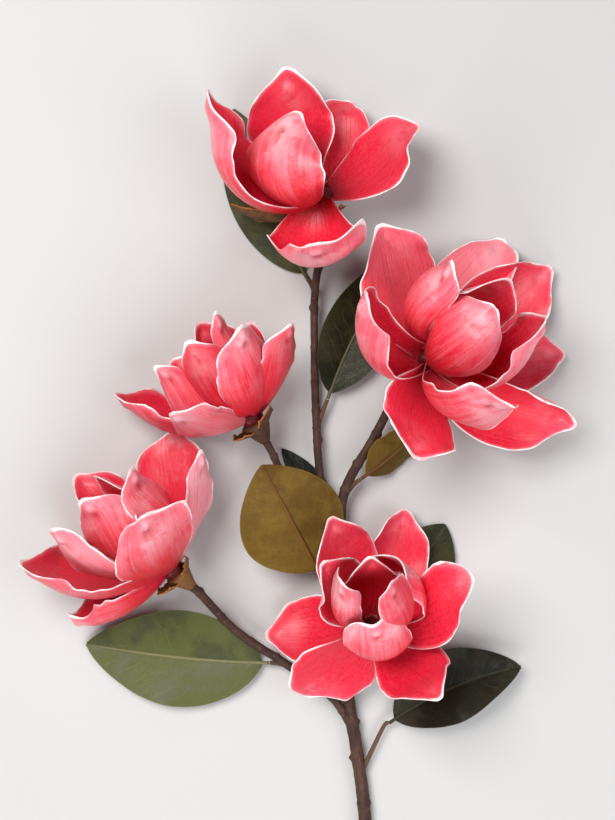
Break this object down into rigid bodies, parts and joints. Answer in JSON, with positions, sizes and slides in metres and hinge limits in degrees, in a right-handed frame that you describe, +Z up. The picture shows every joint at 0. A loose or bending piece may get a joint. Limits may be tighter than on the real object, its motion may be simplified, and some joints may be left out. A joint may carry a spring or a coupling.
{
  "type": "magnolia branch",
  "caption": "Cut branch with open magnolia blooms and broad leaves on a woody forked stem, lying flat on a surface.",
  "frame": {"origin": "on the surface that the branch lies on, below the middle of its footprint", "axes": "+Z up from the surface, +Y along the branch from the cut end towards the topmost bloom, +X to the right as seen from above"},
  "size_m": [0.3838, 0.6236, 0.147],
  "materials": {
    "petal": "satin",
    "cone": "matte",
    "calyx": "matte",
    "bark": "matte",
    "leaf": "satin",
    "ochre_leaf": "satin"
  },
  "bodies": {
    "root": {"bloom_top": "petal", "bloom_right": "petal", "bloom_far_left": "petal", "bloom_left": "petal", "bloom_front": "petal", "calyx_top": "calyx", "calyx_right": "calyx", "calyx_far_left": "calyx", "calyx_left": "calyx", "calyx_front": "calyx", "cone_top": "cone", "cone_right": "cone", "cone_far_left": "cone", "cone_left": "cone", "cone_front": "cone", "leaf_behind_top": "leaf", "leaf_behind_right": "leaf", "leaf_ochre_broad": "ochre_leaf", "leaf_dark_edge": "leaf", "leaf_ochre_small": "ochre_leaf", "leaf_green_large": "leaf", "leaf_dark_right": "leaf", "leaf_dark_small": "leaf", "stem": "bark"}
  },
  "joints": []
}
